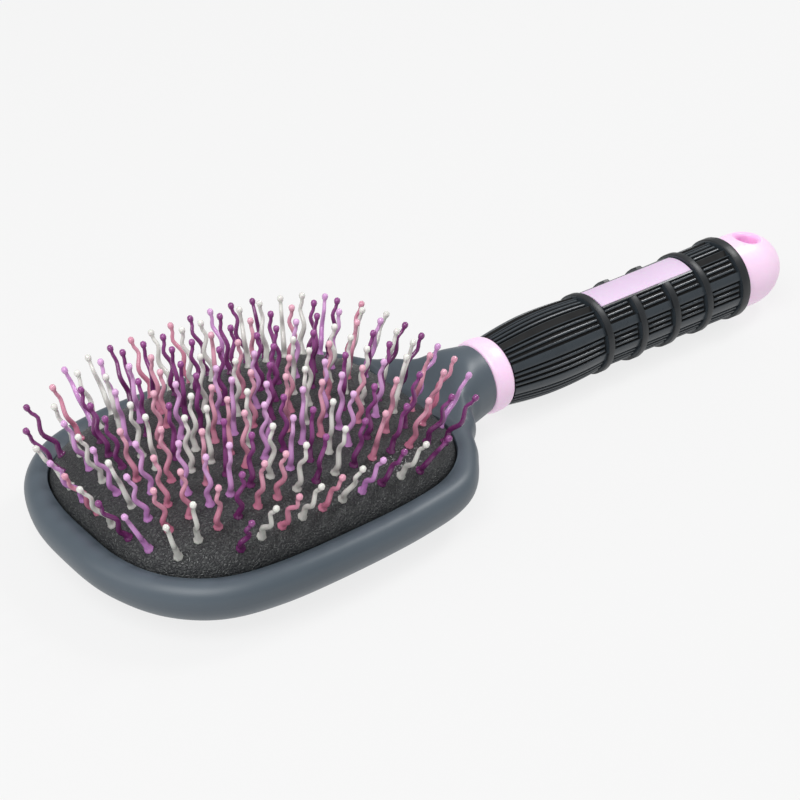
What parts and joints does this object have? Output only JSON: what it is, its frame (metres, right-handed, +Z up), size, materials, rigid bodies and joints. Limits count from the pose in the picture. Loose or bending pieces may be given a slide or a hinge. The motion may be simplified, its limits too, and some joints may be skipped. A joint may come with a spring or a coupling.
{
  "type": "mane brush",
  "caption": "Mane brush with a grey soft-touch paddle head, a black domed cushion of wavy ball-tipped pins, and a ribbed handle.",
  "frame": {"origin": "on the resting surface, under the middle of the brush's length and width, with the brush lying on its back", "axes": "+X from the head to the end cap, +Z up out of the cushion along the pins, +Y to the left when looking along +X"},
  "size_m": [0.255, 0.0972, 0.0447],
  "materials": {
    "soft_touch_grey": "soft-touch matt",
    "stiff_black": "satin",
    "cushion_rubber": "fine leather grain",
    "pin_nylon": "glossy",
    "pale_pink": "glossy",
    "grip_rubber": "satin"
  },
  "bodies": {
    "brush_body": {"head_back_shell": "soft_touch_grey", "head_front_frame": "soft_touch_grey", "paddle_core": "stiff_black", "cushion_edge": "cushion_rubber", "neck_collar": "pale_pink", "grip_sleeve": "grip_rubber", "label_plate": "pale_pink", "end_cap": "pale_pink"},
    "cushion": {"cushion_pad": "cushion_rubber", "pin_row_01": "pin_nylon", "pin_row_02": "pin_nylon", "pin_row_03": "pin_nylon", "pin_row_04": "pin_nylon", "pin_row_05": "pin_nylon", "pin_row_06": "pin_nylon", "pin_row_07": "pin_nylon", "pin_row_08": "pin_nylon", "pin_row_09": "pin_nylon", "pin_row_10": "pin_nylon", "pin_row_11": "pin_nylon"}
  },
  "joints": [
    {"name": "cushion_press", "type": "slide", "parent": "brush_body", "child": "cushion", "axis": [0, 0, 1], "range_m": [-0.003, 0], "stiffness_N_per_m": 2500}
  ]
}
